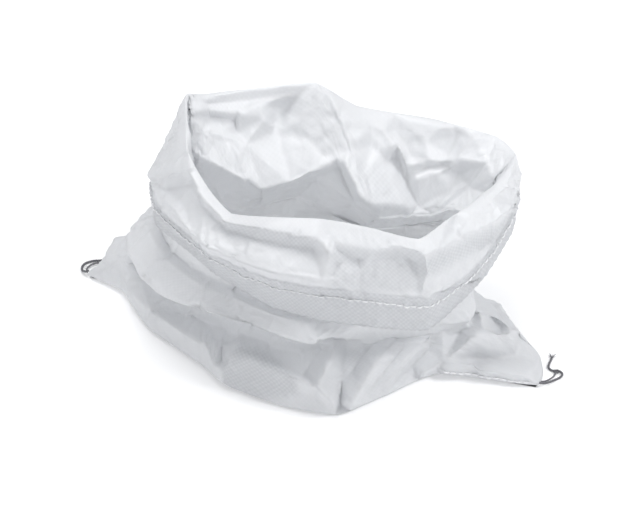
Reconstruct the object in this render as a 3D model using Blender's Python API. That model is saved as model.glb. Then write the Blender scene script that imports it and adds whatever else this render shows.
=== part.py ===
# An empty woven polypropylene sack with its mouth turned out into a deep cuff, squashed down on a level
# floor. Metres, +Z up. The origin is on the floor, under the middle of the sack. +X runs along the sack's
# longest side and +Y runs to its back. Run it with blender --background --python part.py.

import math

import bmesh
import bpy

sackName = "woven_sack"

# Fabric, hem and thread
wall = 0.004  # the crumpled double cloth, as one solid wall
hemProud = 0.0012  # the turned hem stands proud of the cuff by this much
lipProud = 0.002
threadWidth = 0.0018  # the sewn chain of the hem and of the bottom seam
tailWidth = 0.0030  # the loose chain that runs off the end of the seam
hemGap = 0.0011  # clear distance between the cloth and the thread on it
seamGap = 0.0004
baseHeight = 0.007  # height of the widest line of the base
baseInset = 0.006  # how far the flat face lies inside that line
floorCloth = 0.004  # height of the inner floor

# Points between two stations of a ring
ringSteps = 3

# Every ring has twenty stations. Seen from above they run from the left ear along the front to the
# right ear, and back along the rear.
baseRing = [
    (-0.259, 0.104, baseHeight),  # tip of the left ear
    (-0.218, 0.071, baseHeight),
    (-0.187, -0.001, baseHeight),
    (-0.127, -0.069, baseHeight),
    (-0.094, -0.112, baseHeight),
    (-0.030, -0.150, baseHeight),
    (0.030, -0.164, baseHeight),  # front
    (0.084, -0.128, baseHeight),
    (0.142, -0.088, baseHeight),
    (0.252, -0.110, baseHeight),  # tip of the right ear
    (0.2570, -0.058, baseHeight),
    (0.214, 0.030, baseHeight),
    (0.180, 0.058, baseHeight),
    (0.148, 0.104, baseHeight),
    (0.104, 0.130, baseHeight),
    (0.045, 0.142, baseHeight),  # back
    (-0.025, 0.142, baseHeight),
    (-0.095, 0.138, baseHeight),
    (-0.155, 0.130, baseHeight),
    (-0.215, 0.120, baseHeight),
]
bellyRing = [
    (-0.234, 0.096, 0.031),  # shoulder of the left ear
    (-0.207, 0.068, 0.032),
    (-0.176, 0.004, 0.030),
    (-0.124, -0.062, 0.034),
    (-0.091, -0.102, 0.036),
    (-0.034, -0.132, 0.038),
    (0.018, -0.142, 0.038),
    (0.082, -0.112, 0.034),
    (0.138, -0.083, 0.034),
    (0.216, -0.084, 0.024),  # ridge of the right ear
    (0.229, -0.044, 0.033),
    (0.207, 0.004, 0.036),
    (0.174, 0.042, 0.024),
    (0.150, 0.100, 0.034),
    (0.110, 0.132, 0.034),
    (0.045, 0.142, 0.034),
    (-0.025, 0.143, 0.034),
    (-0.095, 0.139, 0.035),
    (-0.150, 0.132, 0.036),
    (-0.223, 0.119, 0.041),
]
# Under the draped fold, where the wall turns in
tuckRing = [
    (-0.196, 0.092, 0.062),
    (-0.182, 0.062, 0.050),
    (-0.140, 0.020, 0.044),
    (-0.098, -0.016, 0.048),
    (-0.068, -0.044, 0.054),
    (-0.032, -0.072, 0.056),
    (0.010, -0.090, 0.054),
    (0.062, -0.084, 0.048),
    (0.116, -0.074, 0.044),
    (0.172, -0.058, 0.050),
    (0.178, -0.032, 0.056),
    (0.168, 0.000, 0.056),
    (0.162, 0.053, 0.060),
    (0.150, 0.096, 0.060),
    (0.106, 0.120, 0.056),
    (0.046, 0.126, 0.054),
    (-0.025, 0.128, 0.053),
    (-0.088, 0.122, 0.056),
    (-0.130, 0.114, 0.058),
    (-0.176, 0.106, 0.063),
]
# The draped fold, which hangs over the belly
drapeRing = [
    (-0.206, 0.096, 0.074),
    (-0.208, 0.056, 0.070),
    (-0.186, -0.006, 0.075),
    (-0.143, -0.068, 0.087),
    (-0.106, -0.106, 0.100),
    (-0.046, -0.135, 0.096),
    (0.003, -0.141, 0.086),  # the fold hangs furthest out here
    (0.058, -0.100, 0.080),
    (0.116, -0.082, 0.066),
    (0.176, -0.068, 0.062),
    (0.184, -0.038, 0.072),
    (0.182, 0.000, 0.080),
    (0.180, 0.056, 0.084),
    (0.156, 0.096, 0.080),
    (0.108, 0.113, 0.078),
    (0.048, 0.117, 0.076),
    (-0.025, 0.119, 0.075),
    (-0.090, 0.120, 0.072),
    (-0.144, 0.122, 0.070),
    (-0.188, 0.118, 0.074),
]
waistRing = [
    (-0.178, 0.086, 0.112),
    (-0.174, 0.052, 0.108),
    (-0.156, 0.002, 0.106),
    (-0.118, -0.054, 0.110),
    (-0.086, -0.080, 0.112),
    (-0.036, -0.108, 0.106),
    (0.012, -0.116, 0.100),
    (0.070, -0.092, 0.092),
    (0.112, -0.080, 0.084),
    (0.160, -0.060, 0.088),
    (0.176, -0.034, 0.100),
    (0.180, 0.002, 0.108),
    (0.172, 0.050, 0.102),
    (0.148, 0.074, 0.098),
    (0.110, 0.068, 0.096),
    (0.060, 0.060, 0.098),
    (-0.020, 0.112, 0.102),
    (-0.086, 0.084, 0.105),
    (-0.130, 0.084, 0.111),
    (-0.164, 0.100, 0.112),
]
# The inner wall below the mouth
neckRing = [
    (-0.137, 0.048, 0.190),
    (-0.135, 0.020, 0.186),
    (-0.134, -0.016, 0.180),
    (-0.112, -0.058, 0.172),
    (-0.086, -0.084, 0.166),
    (-0.036, -0.106, 0.168),
    (0.010, -0.112, 0.165),
    (0.062, -0.108, 0.156),
    (0.112, -0.104, 0.144),
    (0.148, -0.066, 0.146),
    (0.172, -0.034, 0.150),
    (0.184, 0.000, 0.148),
    (0.186, 0.036, 0.144),
    (0.160, 0.062, 0.132),
    (0.118, 0.062, 0.126),
    (0.066, 0.046, 0.138),
    (0.012, 0.066, 0.176),
    (-0.056, 0.050, 0.160),
    (-0.098, 0.050, 0.187),
    (-0.126, 0.055, 0.199),
]
rimRing = [
    (-0.141, 0.070, 0.264),
    (-0.139, 0.035, 0.258),
    (-0.137, -0.015, 0.254),
    (-0.115, -0.062, 0.238),
    (-0.088, -0.092, 0.224),
    (-0.036, -0.110, 0.231),
    (0.009, -0.116, 0.233),
    (0.060, -0.118, 0.224),
    (0.116, -0.121, 0.210),  # lowest dip of the front
    (0.150, -0.075, 0.205),
    (0.180, -0.040, 0.203),
    (0.205, 0.000, 0.200),
    (0.229, 0.060, 0.199),  # right corner of the mouth
    (0.208, 0.098, 0.199),
    (0.140, 0.124, 0.205),
    (0.050, 0.129, 0.220),
    (0.004, 0.126, 0.253),  # peak of the back
    (-0.070, 0.118, 0.250),
    (-0.120, 0.105, 0.250),
    (-0.139, 0.090, 0.262),  # left corner of the mouth
]
cuffRing = [
    (-0.165, 0.072, 0.206),
    (-0.179, 0.032, 0.192),
    (-0.173, -0.012, 0.200),
    (-0.146, -0.068, 0.200),
    (-0.112, -0.110, 0.196),
    (-0.045, -0.146, 0.196),
    (0.009, -0.152, 0.192),
    (0.070, -0.150, 0.184),
    (0.130, -0.142, 0.168),
    (0.178, -0.092, 0.166),
    (0.208, -0.044, 0.176),
    (0.231, 0.008, 0.186),
    (0.236, 0.058, 0.175),
    (0.220, 0.108, 0.165),
    (0.148, 0.142, 0.166),
    (0.062, 0.150, 0.178),
    (0.002, 0.150, 0.195),
    (-0.075, 0.143, 0.205),
    (-0.124, 0.126, 0.216),
    (-0.152, 0.102, 0.216),
]
hemRing = [
    (-0.180, 0.085, 0.150),
    (-0.180, 0.045, 0.148),
    (-0.172, 0.000, 0.144),
    (-0.134, -0.050, 0.142),
    (-0.106, -0.084, 0.137),
    (-0.043, -0.126, 0.123),
    (0.009, -0.137, 0.113),
    (0.074, -0.135, 0.101),
    (0.128, -0.118, 0.086),  # lowest corner of the hem
    (0.166, -0.084, 0.101),
    (0.194, -0.056, 0.117),
    (0.222, -0.005, 0.134),
    (0.228, 0.052, 0.118),
    (0.221, 0.110, 0.110),
    (0.150, 0.151, 0.116),
    (0.060, 0.161, 0.124),
    (0.000, 0.1635, 0.135),
    (-0.080, 0.158, 0.145),
    (-0.135, 0.141, 0.150),
    (-0.172, 0.118, 0.152),
]

# Shares of the way between two rings
bodyFoldUp = 0.60  # where the body wall meets the underside of the rim
cuffFoldDown = 0.45
lipDown = 0.25  # the cuff is full just below the rim
inRim = 0.90
hemTop = 0.52  # the hem's upper edge, from the bottom of the cuff to its bulge
hemStep = 0.04
stitchLine = 0.66  # the stitching, from the bottom of the hem to its upper edge

# Loose ends of the chain stitch, from the tip of each ear outwards. The third number is how far the
# chain hangs clear of the floor.
rightTailRoute = [
    (0.2538, -0.1106, 0.0056),
    (0.2595, -0.1092, 0.0040),
    (0.2650, -0.1035, 0.0015),
    (0.2715, -0.0975, 0.0),
    (0.2780, -0.0925, 0.0),
    (0.2805, -0.0860, 0.0),
    (0.2765, -0.0805, 0.0),
    (0.2695, -0.0800, 0.0),
    (0.2655, -0.0745, 0.0),
    (0.2665, -0.0670, 0.0),
    (0.2685, -0.0610, 0.0),
    (0.2700, -0.0555, 0.0),
]
leftTailRoute = [
    (-0.2597, 0.1047, 0.0053),
    (-0.2635, 0.1090, 0.0028),
    (-0.2665, 0.1155, 0.0004),
    (-0.2665, 0.1235, 0.0),
    (-0.2625, 0.1300, 0.0),
    (-0.2545, 0.1340, 0.0),
    (-0.2460, 0.1350, 0.0),
    (-0.2385, 0.1365, 0.0),
    (-0.2310, 0.1385, 0.0),
]
tailSteps = 2
clearOfFloor = 0.0002

# Stations of the base between which the seam's chain shows
seamFrom = 8
seamTo = 9


def clearScene():
    for thing in list(bpy.data.objects):
        bpy.data.objects.remove(thing, do_unlink=True)


def makeCollection(name):
    collection = bpy.data.collections.new(name)
    bpy.context.scene.collection.children.link(collection)
    return collection


def makeMaterial(name, colour, roughness, metallic=0.0):
    material = bpy.data.materials.new(name)
    material.use_nodes = True
    shader = material.node_tree.nodes["Principled BSDF"]
    shader.inputs["Base Color"].default_value = (*colour, 1.0)
    shader.inputs["Roughness"].default_value = roughness
    shader.inputs["Metallic"].default_value = metallic
    return material


def curvePoint(before, start, end, after, share):
    """A point of the smooth curve through start and end, with the points either side of them giving its bends."""
    squared = share * share
    cubed = squared * share
    return tuple(
        0.5 * (2 * b + (c - a) * share + (2 * a - 5 * b + 4 * c - d) * squared + (3 * b - a - 3 * c + d) * cubed)
        for a, b, c, d in zip(before, start, end, after)
    )


def smoothRing(stations, steps=ringSteps):
    count = len(stations)
    return [
        curvePoint(
            stations[i - 1],
            stations[i],
            stations[(i + 1) % count],
            stations[(i + 2) % count],
            step / steps,
        )
        for i in range(count)
        for step in range(steps)
    ]


def smoothRoute(points, steps):
    last = len(points) - 1
    route = [
        curvePoint(points[max(i - 1, 0)], points[i], points[i + 1], points[min(i + 2, last)], step / steps)
        for i in range(last)
        for step in range(steps)
    ]
    return route + [points[last]]


def outward(ring, distance):
    """The ring moved level with the floor, away from its inside."""
    count = len(ring)
    moved = []
    for i, (x, y, z) in enumerate(ring):
        before = ring[i - 1]
        after = ring[(i + 1) % count]
        along = (after[0] - before[0], after[1] - before[1])
        length = math.hypot(*along)
        moved.append((x + along[1] / length * distance, y - along[0] / length * distance, z))
    return moved


def between(first, second, share):
    return [
        tuple(a + (b - a) * share for a, b in zip(start, end))
        for start, end in zip(first, second)
    ]


def levelled(ring, height):
    return [(x, y, height) for x, y, _ in ring]


def raised(ring, lift):
    return [(x, y, z + lift) for x, y, z in ring]


def linkMesh(name, bm, collection, material):
    mesh = bpy.data.meshes.new(name)
    bm.to_mesh(mesh)
    bm.free()
    mesh.materials.append(material)
    thing = bpy.data.objects.new(name, mesh)
    collection.objects.link(thing)
    return thing


def loft(name, rings, collection, material):
    """A closed body through the rings, each joined to the next, with a flat end at the first and at the last."""
    bm = bmesh.new()
    rows = [[bm.verts.new(point) for point in ring] for ring in rings]
    for lower, upper in zip(rows, rows[1:]):
        for i in range(len(lower)):
            bm.faces.new((lower[i - 1], lower[i], upper[i], upper[i - 1]))
    bm.faces.new(reversed(rows[0]))
    bm.faces.new(rows[-1])
    thing = linkMesh(name, bm, collection, material)
    thing.data.shade_smooth()
    thing.data.set_sharp_from_angle(angle=math.radians(40))
    return thing


def thread(name, points, width, collection, material, closed=False):
    curve = bpy.data.curves.new(name, "CURVE")
    curve.dimensions = "3D"
    curve.bevel_depth = width / 2
    curve.bevel_resolution = 2
    curve.use_fill_caps = not closed
    spline = curve.splines.new("POLY")
    spline.points.add(len(points) - 1)
    for target, point in zip(spline.points, points):
        target.co = (*point, 1.0)
    spline.use_cyclic_u = closed
    curve.materials.append(material)
    thing = bpy.data.objects.new(name, curve)
    collection.objects.link(thing)
    return thing


def hemRings():
    """The outer rings of the turned hem: its bottom fold, its upper edge, and the cuff just above that edge."""
    bottom = smoothRing(hemRing)
    bulge = smoothRing(cuffRing)
    top = outward(between(bottom, bulge, hemTop), hemProud)
    above = between(bottom, bulge, hemTop + hemStep)
    return bottom, top, above


def makeSack(collection, material):
    base = smoothRing(baseRing)
    belly = smoothRing(bellyRing)
    tuck = smoothRing(tuckRing)
    drape = smoothRing(drapeRing)
    waist = smoothRing(waistRing)
    neck = smoothRing(neckRing)
    rim = smoothRing(rimRing)
    bulge = smoothRing(cuffRing)
    hemBottom, hemUpper, hemAbove = hemRings()

    body = [
        levelled(outward(base, -baseInset), 0.0),
        base,
        belly,
        tuck,
        drape,
        waist,
        neck,
        between(neck, rim, bodyFoldUp),
    ]
    cuffInside = [
        outward(between(rim, bulge, cuffFoldDown), -0.75 * wall),
        outward(bulge, -wall),
        outward(hemBottom, -1.3 * wall),
    ]
    cuffOutside = [
        hemBottom,
        hemUpper,
        hemAbove,
        bulge,
        outward(between(rim, bulge, lipDown), lipProud),
    ]
    inside = [
        outward(between(neck, rim, inRim), -1.3 * wall),
        outward(neck, -wall),
        outward(waist, -1.1 * wall),
        raised(outward(drape, -1.5 * wall), 0.4 * wall),
        raised(outward(tuck, -1.9 * wall), 0.2 * wall),
        raised(outward(belly, -1.3 * wall), -0.5 * wall),
        levelled(outward(base, -2.5 * wall), floorCloth),
    ]
    return loft(sackName, body + cuffInside + cuffOutside + [rim] + inside, collection, material)


def makeHemStitching(collection, material):
    bottom, top, _ = hemRings()
    line = outward(between(bottom, top, stitchLine), threadWidth / 2 + hemGap)
    return thread("hem_stitching", line, threadWidth, collection, material, closed=True)


def makeSeamStitching(name, first, last, collection, material):
    """The seam's chain along the foot of an ear, between the first and the last of its stations."""
    base = smoothRing(baseRing)
    line = outward(base, threadWidth / 2 + seamGap)[first * ringSteps : last * ringSteps + 1]
    return thread(name, line, threadWidth, collection, material)


def makeTail(name, route, collection, material):
    rest = tailWidth / 2 + clearOfFloor
    points = [(x, y, z + rest) for x, y, z in smoothRoute(route, tailSteps)]
    return thread(name, points, tailWidth, collection, material)


def main():
    clearScene()
    collection = makeCollection("Woven sack")
    cloth = makeMaterial("White polypropylene", (0.72, 0.74, 0.77), 0.42)
    hemThread = makeMaterial("White thread", (0.62, 0.63, 0.64), 0.60)
    seamThread = makeMaterial("Grey thread", (0.10, 0.10, 0.11), 0.75)

    makeSack(collection, cloth)
    makeHemStitching(collection, hemThread)
    makeSeamStitching("bottom_seam_stitching", seamFrom, seamTo, collection, hemThread)
    makeTail("thread_tail_right", rightTailRoute, collection, seamThread)
    makeTail("thread_tail_left", leftTailRoute, collection, seamThread)


main()
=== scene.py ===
# An empty woven polypropylene sack, its mouth turned out into a cuff, lying where it was dropped.
import math

import bmesh
import bpy
import numpy as np
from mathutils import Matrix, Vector, geometry


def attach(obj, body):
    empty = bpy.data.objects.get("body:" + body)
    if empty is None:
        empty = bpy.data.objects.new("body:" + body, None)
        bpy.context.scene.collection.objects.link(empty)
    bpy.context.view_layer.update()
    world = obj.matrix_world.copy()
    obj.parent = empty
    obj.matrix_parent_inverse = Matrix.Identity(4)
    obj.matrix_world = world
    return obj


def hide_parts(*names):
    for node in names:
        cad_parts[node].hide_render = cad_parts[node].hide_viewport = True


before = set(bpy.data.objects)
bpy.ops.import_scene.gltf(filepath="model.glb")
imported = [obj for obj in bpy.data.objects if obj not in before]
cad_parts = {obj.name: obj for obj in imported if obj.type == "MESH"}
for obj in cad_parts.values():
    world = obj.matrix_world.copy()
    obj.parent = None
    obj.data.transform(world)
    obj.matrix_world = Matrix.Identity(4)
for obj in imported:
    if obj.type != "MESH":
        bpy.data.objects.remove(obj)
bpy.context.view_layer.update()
print("frame loaded")

# The photograph's frame, and where its camera stands
photo = {
    "width": 640,
    "height": 512,
    "pixelsPerMetre": 890,  # at the sack
    "distance": 5.0,
    "elevation": 35.0,
    "aim": (0.009, 0.0, 0.1026),
    "sensor": 36.0,
    "clip": 50,
}


def viewAxes():
    tilt = math.radians(photo["elevation"])
    ahead = Vector((0, math.cos(tilt), -math.sin(tilt)))
    up = Vector((0, math.sin(tilt), math.cos(tilt)))
    return ahead, up


def makeCamera():
    ahead, up = viewAxes()
    data = bpy.data.cameras.new("photo_camera")
    focalPixels = photo["pixelsPerMetre"] * photo["distance"]
    data.sensor_width = photo["sensor"]
    data.lens = focalPixels / photo["width"] * photo["sensor"]
    data.clip_end = photo["clip"]
    camera = bpy.data.objects.new("photo_camera", data)
    bpy.context.scene.collection.objects.link(camera)
    camera.location = Vector(photo["aim"]) - ahead * photo["distance"]
    camera.rotation_euler = (math.radians(90 - photo["elevation"]), 0, 0)
    bpy.context.scene.camera = camera


def toPixels(points):
    ahead, up = viewAxes()
    eye = np.array(Vector(photo["aim"]) - ahead * photo["distance"])
    offset = points - eye
    depth = offset @ np.array(ahead)
    focalPixels = photo["pixelsPerMetre"] * photo["distance"]
    x = photo["width"] / 2 + focalPixels * offset[..., 0] / depth
    y = photo["height"] / 2 - focalPixels * (offset @ np.array(up)) / depth
    return np.stack([x, y], axis=-1)


makeCamera()


# Shader maths: a socket that takes part in Python expressions
class Wire:
    def __init__(self, tree, socket):
        self.tree = tree
        self.socket = socket

    def math(self, operation, first, second=None):
        node = self.tree.nodes.new("ShaderNodeMath")
        node.operation = operation
        for slot, value in zip(node.inputs, (first, second)):
            if isinstance(value, Wire):
                self.tree.links.new(value.socket, slot)
            elif value is not None:
                slot.default_value = value
        return Wire(self.tree, node.outputs[0])

    def __add__(self, other):
        return self.math("ADD", self, other)

    def __radd__(self, other):
        return self.math("ADD", other, self)

    def __sub__(self, other):
        return self.math("SUBTRACT", self, other)

    def __rsub__(self, other):
        return self.math("SUBTRACT", other, self)

    def __mul__(self, other):
        return self.math("MULTIPLY", self, other)

    def __rmul__(self, other):
        return self.math("MULTIPLY", other, self)

    def __pow__(self, other):
        return self.math("POWER", self, other)

    def node(self, kind, settings=None, inputs=None, output=0):
        made = self.tree.nodes.new(kind)
        for name, value in (settings or {}).items():
            setattr(made, name, value)
        for name, value in (inputs or {}).items():
            if isinstance(value, Wire):
                self.tree.links.new(value.socket, made.inputs[name])
            else:
                made.inputs[name].default_value = value
        return Wire(self.tree, made.outputs[output])


def newMaterial(name):
    material = bpy.data.materials.new(name)
    material.use_nodes = True
    tree = material.node_tree
    shader = tree.nodes["Principled BSDF"]
    return material, tree, shader, Wire(tree, None)


def feed(wire, shader, name):
    wire.tree.links.new(wire.socket, shader.inputs[name])


def setSockets(shader, values):
    for name, value in values.items():
        shader.inputs[name].default_value = value


clothFinish = {
    "pitch": 0.0027,  # width of one tape
    "dull": (0.62, 0.63, 0.65, 1),
    "bright": (0.88, 0.885, 0.90, 1),
    "roughness": 0.34,
    "through": 0.41,  # share of light that comes through the cloth
    "glow": (0.86, 0.87, 0.88, 1),
    "patches": {"Scale": 9.0, "Detail": 3.0},
    "faint": {"From Min": 0.45, "From Max": 0.66, "To Min": 0.0, "To Max": 0.35},  # how tapes show there
    "streaks": (370.0, 6.0, 1.0),
    "wrinkles": {"Scale": 70.0, "Detail": 6.0, "Roughness": 0.62, "Distortion": 0.6},
    "cells": 42.0,
    "tapeHeight": 0.00034,
    "gapHeight": 0.00020,
    "wrinkleHeight": 0.0011,
    "creaseHeight": 0.0008,
    "streakHeight": 0.00012,
    "creaseEdge": (5.0, 0.5),  # how steeply a fine crease rises, and how far
    "bump": 0.75,
    # paintedShade darkens the cloth's colour by the weave mask: painted shade on the hem and the single-layer
    # bands
    "tone": {"base": 0.82, "streaks": 0.16, "tapes": 0.30, "patches": 0.20, "paintedShade": 0.62},
    "glossWrinkles": 0.25,
    "glossTapes": -0.05,
    "shader": {"IOR": 1.49, "Sheen Weight": 0.15, "Sheen Roughness": 0.4},
}


def wovenCloth():
    finish = clothFinish
    material, tree, shader, wire = newMaterial("woven_polypropylene")
    uv = wire.node("ShaderNodeUVMap", {"uv_map": "cloth"})
    split = uv.node("ShaderNodeSeparateXYZ", inputs={"Vector": uv})
    across, along = (Wire(tree, split.socket.node.outputs[axis]) for axis in "XY")
    turn = math.pi / finish["pitch"]
    warp = wire.math("SINE", across * turn)
    weft = wire.math("SINE", along * turn)
    crossing = warp * weft  # above zero where a warp tape lies on top
    seams = wire.math("MINIMUM", wire.math("ABSOLUTE", warp), wire.math("ABSOLUTE", weft))

    patch = wire.node("ShaderNodeTexNoise", inputs={"Vector": uv, **finish["patches"]})
    faint = wire.node("ShaderNodeMapRange", inputs={"Value": patch, **finish["faint"]})
    tapesAndShade = wire.node("ShaderNodeAttribute", {"attribute_name": "weaveAndShade"}, output=2)
    clear = wire.math("MAXIMUM", tapesAndShade, faint)
    stretched = wire.node("ShaderNodeMapping", inputs={"Vector": uv, "Scale": finish["streaks"]})
    streaks = wire.node("ShaderNodeTexNoise", inputs={"Vector": stretched, "Scale": 1.0, "Detail": 2.0})
    wrinkleNoise = wire.node("ShaderNodeTexNoise", inputs={"Vector": uv, **finish["wrinkles"]})
    edges = {"feature": "DISTANCE_TO_EDGE"}
    cells = wire.node("ShaderNodeTexVoronoi", edges, {"Vector": uv, "Scale": finish["cells"]})
    steep, top = finish["creaseEdge"]
    creases = wire.math("MINIMUM", cells * steep, top)

    height = crossing * clear * finish["tapeHeight"] + seams**0.5 * clear * finish["gapHeight"]
    height = height + wrinkleNoise * finish["wrinkleHeight"] + creases * finish["creaseHeight"]
    height = height + streaks * finish["streakHeight"]
    bump = wire.node("ShaderNodeBump", inputs={"Height": height, "Strength": finish["bump"], "Distance": 1.0})

    # The weave mask brings out the tapes' bump and, as painted shade, darkens these areas, so that their
    # tapes stand out
    share = finish["tone"]
    tone = (streaks - 0.5) * share["streaks"] + crossing * clear * share["tapes"]
    tone = tone + (patch - 0.5) * share["patches"] - tapesAndShade * share["paintedShade"] + share["base"]
    colour = wire.node(
        "ShaderNodeMix",
        {"data_type": "RGBA"},
        {"Factor": tone, "A": finish["dull"], "B": finish["bright"]},
        output=2,
    )
    gloss = (wrinkleNoise - 0.5) * finish["glossWrinkles"] + crossing * clear * finish["glossTapes"]
    gloss = gloss + finish["roughness"]
    feed(colour, shader, "Base Color")
    feed(gloss, shader, "Roughness")
    feed(bump, shader, "Normal")
    setSockets(shader, finish["shader"])

    glow = tree.nodes.new("ShaderNodeBsdfTranslucent")
    glow.inputs["Color"].default_value = finish["glow"]
    mix = tree.nodes.new("ShaderNodeMixShader")
    mix.inputs["Fac"].default_value = finish["through"]
    tree.links.new(shader.outputs[0], mix.inputs[1])
    tree.links.new(glow.outputs[0], mix.inputs[2])
    tree.links.new(mix.outputs[0], tree.nodes["Material Output"].inputs["Surface"])
    return material


threadLook = {"grain": {"Scale": 900.0, "Detail": 3.0}, "depth": 0.0004, "bump": 0.6, "uneven": 0.2}
# The tails' thread is made far darker than the hem's white thread: partly its own grey, partly painted shade
threadColours = {
    "grey_thread_shaded": {"dark": (0.07, 0.07, 0.08, 1), "light": (0.24, 0.24, 0.26, 1), "roughness": 0.75},
    "white_thread": {"dark": (0.70, 0.71, 0.73, 1), "light": (0.90, 0.90, 0.91, 1), "roughness": 0.60},
}


def threadFinish(name, dark, light, roughness):
    material, _, shader, wire = newMaterial(name)
    place = wire.node("ShaderNodeTexCoord", output=3)
    grain = wire.node("ShaderNodeTexNoise", inputs={"Vector": place, **threadLook["grain"]})
    shades = {"Factor": grain, "A": dark, "B": light}
    colour = wire.node("ShaderNodeMix", {"data_type": "RGBA"}, shades, output=2)
    lumps = {"Height": grain * threadLook["depth"], "Strength": threadLook["bump"], "Distance": 1.0}
    bump = wire.node("ShaderNodeBump", inputs=lumps)
    feed(colour, shader, "Base Color")
    feed((grain - 0.5) * threadLook["uneven"] + roughness, shader, "Roughness")
    feed(bump, shader, "Normal")
    return material


# Loose ends of the seam's chain, from the tip of each ear outwards. The third number is how far the
# chain hangs clear of the floor.
tails = {
    "width": 0.0030,
    "clearOfFloor": 0.0002,
    "strand": 0.00125,
    "twist": 0.0085,  # length of one turn
    "step": 0.0009,
    "right": [
        (0.2538, -0.1106, 0.0056),
        (0.2595, -0.1092, 0.0040),
        (0.2650, -0.1035, 0.0015),
        (0.2715, -0.0975, 0.0),
        (0.2780, -0.0925, 0.0),
        (0.2805, -0.0860, 0.0),
        (0.2765, -0.0805, 0.0),
        (0.2695, -0.0800, 0.0),
        (0.2655, -0.0745, 0.0),
        (0.2665, -0.0670, 0.0),
        (0.2685, -0.0610, 0.0),
        (0.2700, -0.0555, 0.0),
    ],
    "left": [
        (-0.2597, 0.1047, 0.0053),
        (-0.2635, 0.1090, 0.0028),
        (-0.2665, 0.1155, 0.0004),
        (-0.2665, 0.1235, 0.0),
        (-0.2625, 0.1300, 0.0),
        (-0.2545, 0.1340, 0.0),
        (-0.2460, 0.1350, 0.0),
        (-0.2385, 0.1365, 0.0),
        (-0.2310, 0.1385, 0.0),
    ],
    "fibres": 10,
    "fibreLength": 0.008,
    "fibreThick": (0.00042, 0.00018),
    "fibreStart": 0.0012,  # how far inside the end they begin
    "fibreSpread": 0.7,
    "fibreLift": 0.25,
    "fibreBend": 0.25,
    "fibreLow": 0.0004,
    "fork": 0.0075,  # two thicker ends that stand apart
    "forkThick": (0.0008, 0.0003),
    "forkLean": (-0.55, 0.45),
    "forkLift": 0.0012,
    "fray": 0.005,
    "frayThick": (0.0004, 0.0002),
    "secondThin": 0.8,  # the second strand, and the knot, as shares of a strand
    "knotThin": 0.55,
    "returnStrand": [
        (0.2552, -0.1040, 0.0030),
        (0.2600, -0.1010, 0.0010),
        (0.2655, -0.0960, 0.0),
        (0.2705, -0.0905, 0.0),
        (0.2735, -0.0850, 0.0012),
    ],
    "knot": (0.2738, -0.0822, 0.0022),
    "knotRadius": 0.0021,
    "knotHeight": 0.0009,
    "curl": [
        (-0.2585, 0.1075, 0.0050),
        (-0.2610, 0.1130, 0.0026),
        (-0.2600, 0.1200, 0.0012),
        (-0.2560, 0.1255, 0.0012),
        (-0.2500, 0.1290, 0.0010),
        (-0.2440, 0.1300, 0.0),
    ],
}


def between(a, b, c, d, share):
    # A Catmull-Rom curve from b to c
    bend = (2 * a - 5 * b + 4 * c - d) * share**2
    return 0.5 * (2 * b + (c - a) * share + bend + (3 * b - a - 3 * c + d) * share**3)


def lengthAlong(line):
    return np.concatenate([[0], np.cumsum(np.linalg.norm(np.diff(line, axis=0), axis=1))])


def lengthDown(rows):
    return np.concatenate([[0], np.cumsum(np.linalg.norm(np.diff(rows, axis=0), axis=2).mean(axis=1))])


def unit(vectors):
    return vectors / np.linalg.norm(vectors, axis=1)[:, None]


def pointsAt(marks, travelled, line):
    return np.stack([np.interp(marks, travelled, line[:, axis]) for axis in range(3)], axis=1)


def smoothLine(points, steps):
    # A curve through the points, with its ends doubled
    ends = np.vstack([points[:1], points, points[-1:]])
    share = np.arange(steps)[:, None] / steps
    runs = [between(a, b, c, d, share) for a, b, c, d in zip(ends, ends[1:], ends[2:], ends[3:])]
    return np.vstack(runs + [points[-1:]])


def evenly(line, step):
    travelled = lengthAlong(line)
    marks = np.linspace(0, travelled[-1], max(2, round(travelled[-1] / step)) + 1)
    return pointsAt(marks, travelled, line), travelled[-1]


def tailRoute(side):
    points = np.array(tails[side])
    points[:, 2] += tails["width"] / 2 + tails["clearOfFloor"]
    return evenly(smoothLine(points, 12), tails["step"])


def sweptTube(bm, line, radius, sides=6):
    # A closed tube along the line, with its ends rounded off to a point
    tangents = unit(np.gradient(line, axis=0))
    normal = Vector((0, 0, 1)).cross(Vector(tangents[0]))
    if normal.length < 1e-4:
        normal = Vector((1, 0, 0))
    rings = []
    radii = np.full(len(line), radius) if np.isscalar(radius) else radius
    for point, tangent, size in zip(line, tangents, radii):
        tangent = Vector(tangent)
        normal = (normal - tangent * normal.dot(tangent)).normalized()
        side = tangent.cross(normal)
        ring = []
        for k in range(sides):
            angle = 2 * math.pi * k / sides
            offset = (normal * math.cos(angle) + side * math.sin(angle)) * size
            ring.append(bm.verts.new(Vector(point) + offset))
        rings.append(ring)
    for first, second in zip(rings, rings[1:]):
        for k in range(sides):
            bm.faces.new((first[k - 1], first[k], second[k], second[k - 1]))
    bm.faces.new(reversed(rings[0]))
    bm.faces.new(rings[-1])


def meshFrom(bm, name, material):
    bmesh.ops.recalc_face_normals(bm, faces=bm.faces)
    mesh = bpy.data.meshes.new(name)
    bm.to_mesh(mesh)
    bm.free()
    mesh.shade_smooth()
    mesh.materials.append(material)
    piece = bpy.data.objects.new(name, mesh)
    bpy.context.scene.collection.objects.link(piece)
    return piece


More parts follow.
